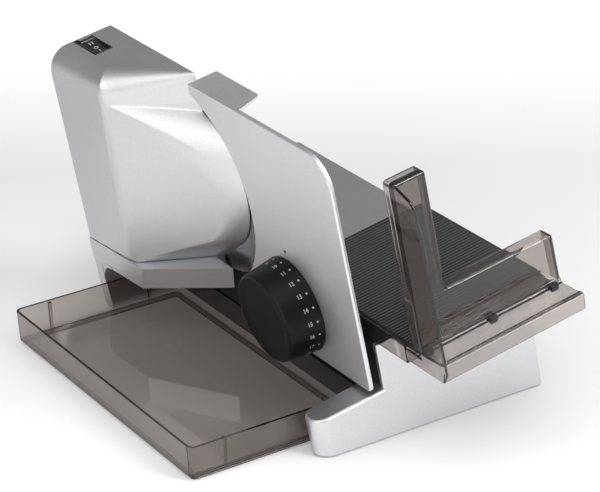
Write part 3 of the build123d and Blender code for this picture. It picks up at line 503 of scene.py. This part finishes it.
# ---------------------------------------------------------------- pusher wall of the carriage
def outline(u, v, pts):
    """Signed distance to a closed polygon."""
    pts = np.asarray(pts, float)
    d = np.full(np.shape(u), 1e9)
    odd = np.zeros(np.shape(u), bool)
    for a, b in zip(pts, np.roll(pts, -1, 0)):
        eu, ev = b - a
        t = clip01(((u - a[0]) * eu + (v - a[1]) * ev) / (eu * eu + ev * ev))
        d = np.minimum(d, np.hypot(u - a[0] - t * eu, v - a[1] - t * ev))
        if ev:
            odd ^= ((v < a[1]) != (v < b[1])) & (u < a[0] + (v - a[1]) * eu / ev)
    return np.where(odd, -d, d)


def stroke(u, v, pts, half):
    """Signed distance to a rounded line of a given half thickness."""
    d = np.full(np.shape(u), 1e9)
    for a, b in zip(pts[:-1], pts[1:]):
        eu, ev = b[0] - a[0], b[1] - a[1]
        t = clip01(((u - a[0]) * eu + (v - a[1]) * ev) / (eu * eu + ev * ev))
        d = np.minimum(d, np.hypot(u - a[0] - t * eu, v - a[1] - t * ev))
    return d - half


WY = -61.0                                # front face of the wall
ROOT = [(WY - 2.6 + 3.6 * math.cos(a), 60.0 - 3.6 * math.sin(a)) for a in np.linspace(0, math.pi / 2, 9)]
SHELF = ROOT + [(WY - 20.4, 57.0), (WY - 21.7, 58.2), (WY - 24.5, 58.3), (WY - 25.3, 57.5), (WY - 25.0, 46.6)]
FIN = [(WY + 12, 187), (WY + 2, 190), (WY - 4, 193), (WY - 19, 187.5), (WY - 23, 181.5), (WY - 25.4, 160), (WY - 26.4, 116), (WY - 26.4, 58), (WY - 21.5, 42),
       (-37.8, 42), (-37.8, 51.5), (WY + 3.6, 51.5), (WY + 3.6, 58), (WY + 12, 58)]


def wall_outline(x, z, foot, grow=0.0):
    """The wall's stepped front outline, with its corner radii."""
    low = rmax(rmax(x - 125.0 + 0.0368 * (z - 60), z - 98.0, 3.0), np.maximum(2.0 - x, foot - z), 0.3)
    tall = rmax(rmax(rmax(x - 30.0, z - 193.0, 3.0), 2.0 - x, 3.0), foot - z, 0.3)
    return rmin(low, tall, 3.0) + grow


def pusher(x, y, z):
    outer = rmax(rmax(wall_outline(x, z, 60.0), WY - y, 2.4), y + 49.0, 0.7)
    thick = 2.0 + 1.2 * clip01((z - 62) / 10) + 3.0 * clip01((z - 98) / 14)
    inner = rmax(wall_outline(x, z, 20.0, 2.2), WY + thick - y, 1.0)
    rim = rmax(outer, -inner, 0.5)
    shelf = np.minimum(stroke(y, z, SHELF, 1.0), stroke(y, z, [(WY - 2.6, 56.4), (-51.3, 56.4), (-51.3, 50.8), (-39.0, 50.8)], 1.0))
    shelf = rmax(shelf, np.maximum(x - 125.0, 2.0 - x), 0.5)
    fin = rmax(outline(y, z, FIN), np.abs(x - 3.1) - 1.1, 0.9)
    body = np.minimum(np.minimum(rim, shelf), fin)
    for cx in (7.5, 62.0, 116.5):
        slot = np.maximum(np.maximum(np.abs(x - cx) - 3.0, np.abs(y + 63.3) - 1.7), np.abs(z - 58.0) - 8.0)
        body = rmax(body, -slot, 0.2)
    return body


pos, quads, normal = surface_net(pusher, (0.0, -89.5, 39.5), 0.85, (150, 64, 183))
pusher_wall = add_mesh("pusher_wall", tp(pos), quads, MATS["smoky"], "carriage", smooth=True)
if len(pusher_wall.data.vertices) == len(pos):
    pusher_wall.data.normals_split_custom_set_from_vertices([tuple(v) for v in tdir(normal)])
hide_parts("carriage_wall")


# ---------------------------------------------------------------- painted sheet on the deck of the base
def sheet(name, x0, x1, y0, y1, z0, thick, corner, mat, body):
    """A flat sheet in the tilted frame with rounded corners and eased upper edges."""
    ring = []
    for cx, cy, a0 in ((x1 - corner, y1 - corner, 0), (x0 + corner, y1 - corner, 90), (x0 + corner, y0 + corner, 180), (x1 - corner, y0 + corner, 270)):
        for a in np.radians(np.linspace(a0, a0 + 90, 7)):
            ring.append((cx, cy, math.cos(a), math.sin(a)))
    n = len(ring)
    verts = []
    for inset, z in ((0.0, z0), (0.0, z0 + thick * 0.55), (thick * 0.45, z0 + thick)):
        verts += [(cx + (corner - inset) * c, cy + (corner - inset) * s, z) for cx, cy, c, s in ring]
    faces = [(k * n + i, k * n + (i + 1) % n, (k + 1) * n + (i + 1) % n, (k + 1) * n + i) for k in (0, 1) for i in range(n)]
    faces += [tuple(range(2 * n, 3 * n)), tuple(reversed(range(n)))]
    return add_mesh(name, tp(verts), faces, mat, body)


sheet("deck_sheet_left", 1.4, 58.6, 24.2, 306.2, 38.0, 0.3, 1.5, MATS["silver"], "base")
sheet("deck_sheet_right", 71.4, 132.6, 24.2, 306.2, 38.0, 0.3, 1.5, MATS["silver"], "base")


# ---------------------------------------------------------------- printed marks
def glyphs(text, size, squeeze=1.0):
    """Outline faces of a printed text about its own centre, in millimetres."""
    cu = bpy.data.curves.new("glyph", "FONT")
    cu.body, cu.size, cu.align_x, cu.align_y = text, size, "CENTER", "CENTER"
    cu.resolution_u = 4
    ob = bpy.data.objects.new("glyph", cu)
    scene.collection.objects.link(ob)
    bpy.context.view_layer.update()
    me = bpy.data.meshes.new_from_object(ob.evaluated_get(bpy.context.evaluated_depsgraph_get()))
    v = np.array([p.co for p in me.vertices], float)
    f = [tuple(p.vertices) for p in me.polygons]
    bpy.data.objects.remove(ob)
    bpy.data.curves.remove(cu)
    bpy.data.meshes.remove(me)
    v -= (v.max(0) + v.min(0)) / 2
    v[:, 0] *= squeeze
    return v[:, :2], f


def disc(radius, n=20, inner=0.0):
    a = np.linspace(0, 2 * math.pi, n, endpoint=False)
    ring = np.stack([np.cos(a), np.sin(a)], 1)
    if inner:
        v = np.concatenate([ring * radius, ring * inner])
        return v, [(i, (i + 1) % n, n + (i + 1) % n, n + i) for i in range(n)]
    return ring * radius, [tuple(range(n))]


class Print:
    """Collects thin solids of ink that lie on a surface."""

    def __init__(self):
        self.v, self.f = [], []

    def add(self, flat, faces, place, up=0.07, down=0.12):
        """place(u, v, h) gives a point of the tilted frame for a place on the surface and a height above it."""
        bm = bmesh.new()
        vs = [bm.verts.new((a, b, 0)) for a, b in flat]
        for f in faces:
            try:
                bm.faces.new([vs[i] for i in f])
            except ValueError:
                pass
        bmesh.ops.remove_doubles(bm, verts=bm.verts, dist=1e-5)
        bmesh.ops.recalc_face_normals(bm, faces=bm.faces)
        if bm.faces and sum(f.normal.z for f in bm.faces) < 0:
            bmesh.ops.reverse_faces(bm, faces=bm.faces)
        made = bmesh.ops.extrude_face_region(bm, geom=list(bm.faces))
        top = {e for e in made["geom"] if isinstance(e, bmesh.types.BMVert)}
        for v in bm.verts:
            v.co.z = up if v in top else -down
        bmesh.ops.recalc_face_normals(bm, faces=bm.faces)
        bm.verts.index_update()
        k = len(self.v)
        self.v += [place(v.co.x, v.co.y, v.co.z) for v in bm.verts]
        self.f += [tuple(k + v.index for v in f.verts) for f in bm.faces]
        bm.free()

    def make(self, name, mat, body):
        return add_mesh(name, tp(self.v), self.f, mat, body)


def on_dial(x0, phi0):
    """Places print on the dial's conical skirt, about x' = x0 and the angle phi0 from the top towards the user."""
    def place(u, v, h):
        x = x0 + u
        r0 = 38.6 - 0.1234 * (-13.6 - x)
        phi = phi0 - v / r0
        r = r0 + h
        return (x - 0.1234 * h, DIAL_Y - r * math.sin(phi), DIAL_Z + r * math.cos(phi))
    return place


dial = Print()
for n in range(21):
    phi = math.radians(360 / 21 * (n - 10))
    flat, faces = glyphs(str(n), 5.0, 0.80)
    dial.add(flat, faces, on_dial(-23.6, phi))
    dial.add(*disc(0.72), on_dial(-17.9, phi))
dial.make("dial_marks", MARK_WHITE, "knob")

arrow = Print()
arrow.add(np.array([(-1.7, 1.6), (1.7, 1.6), (0.0, -2.0)]), [(0, 1, 2)], lambda u, v, h: (-13.0 - h, 84.3 - u, 89.6 + v))
arrow.make("dial_pointer", MARK_BLACK, "plate")


def on_rocker(y0):
    """Places print on the rocker's two upper slopes."""
    def place(u, v, h):
        y = y0 + v
        z = 199.6 + (y - 296) * (1.0 / 15.6 if y < 296 else 3.0 / 15.4)
        return (-30.0 + u, y, z + h)
    return place


marks = Print()
bar = np.array([(-0.55, -2.2), (0.55, -2.2), (0.55, 2.2), (-0.55, 2.2)])
marks.add(bar * 0.8, [(0, 1, 2, 3)], on_rocker(286.8))
ring_v, ring_f = disc(2.2, 28, 1.3)
marks.add(ring_v * np.array([0.85, 1.0]), ring_f, on_rocker(292.8))
for dx in (-1.2, 1.2):
    marks.add(bar * 0.85 + np.array([dx, 0]), [(0, 1, 2, 3)], on_rocker(300.4))
marks.make("switch_marks", MARK_GREY, "rocker")

# Two bright metal strips on the rocker's back slope are painted highlight. They stand in for light caught at the back
# of the switch.
highlight_strips = Print()
for y0, half, up in ((310.2, 0.75, 0.5), (305.6, 0.38, 0.35)):
    highlight_strips.add(np.array([(-5.7, -half), (5.7, -half), (5.7, half), (-5.7, half)]), [(0, 1, 2, 3)], on_rocker(y0), up)
highlight_strips.make("switch_painted_highlight", PAINTED_HIGHLIGHT_METAL, "rocker")


# ---------------------------------------------------------------- floor and light
def quad(name, size, centre):
    sx, sy = size[0] / 2, size[1] / 2
    me = bpy.data.meshes.new(name)
    me.from_pydata([(-sx, -sy, 0), (sx, -sy, 0), (sx, sy, 0), (-sx, sy, 0)], [], [(0, 1, 2, 3)])
    ob = bpy.data.objects.new(name, me)
    ob.location = centre
    scene.collection.objects.link(ob)
    return ob


floor = quad("floor", (16, 16), (0, 2.0, -0.0004))
ft = Tree("floor_painted_glow")
fine = ft.noise(6.0, 2.0, 0.5)


def along(direction):
    n = ft.node("ShaderNodeVectorMath", operation="DOT_PRODUCT")
    ft.put(n.inputs[0], ft.coord)
    n.inputs[1].default_value = direction
    return n.outputs["Value"]


# The floor glows through its emission. The far ramp makes the distant floor glow so that it stays white. The near ramp
# is painted light: a glow in front of and left of the machine, weaker to its right, that lights the machine from below
# and shows in its silver faces. It fades to almost nothing in a patch behind and left of the machine, which is painted
# shade for what the housing's left face mirrors.
far = ft.span(along((0.526, 0.85, 0.0)), -1.35, -0.80, 0.02, 0.60)
near_painted_glow = ft.math("MULTIPLY", ft.span(along((-0.6, 0.8, 0.0)), -1.32, -1.12, 0.28, 0.02), ft.span(along((1.0, 0.0, 0.0)), -0.12, 0.10, 1.0, 0.3))
ft.principled(Base_Color=ft.ramp(fine, [(0.3, (0.86, 0.86, 0.86)), (0.7, (0.885, 0.885, 0.885))]), Roughness=0.9, Specular_IOR_Level=0.1,
              Emission_Color=(1, 1, 1, 1), Emission_Strength=ft.math("MAXIMUM", far, near_painted_glow))
floor.data.materials.append(ft.mat)


def panel(name, where, target, size, radiance):
    la = bpy.data.lights.new(name, "AREA")
    la.shape = "RECTANGLE"
    la.size, la.size_y = size
    la.energy = radiance * math.pi * size[0] * size[1]
    ob = bpy.data.objects.new(name, la)
    ob.location = where
    ob.rotation_mode = "QUATERNION"
    ob.rotation_quaternion = (Vector(target) - Vector(where)).to_track_quat("-Z", "Y")
    ob.visible_camera = False
    scene.collection.objects.link(ob)
    return ob


panel("main", (0.85, -1.47, 1.18), (0.0, 0.0, 0.08), (0.9, 0.9), 11.0)
panel("left", (-1.45, -0.55, 0.86), (0.0, 0.0, 0.12), (1.7, 1.3), 1.45)
panel("overhead", (-0.35, -0.90, 2.3), (-0.10, -0.05, 0.0), (2.6, 2.0), 1.4)

world = bpy.data.worlds.new("studio")
world.use_nodes = True
bg = world.node_tree.nodes["Background"]
bg.inputs["Color"].default_value = (1, 1, 1, 1)
bg.inputs["Strength"].default_value = 0.28
scene.world = world
scene.view_settings.view_transform = "Standard"
scene.cycles.use_denoising = True
scene.cycles.max_bounces = 16
scene.cycles.transmission_bounces = 14
scene.cycles.transparent_max_bounces = 24
scene.cycles.caustics_reflective = False
scene.cycles.caustics_refractive = False
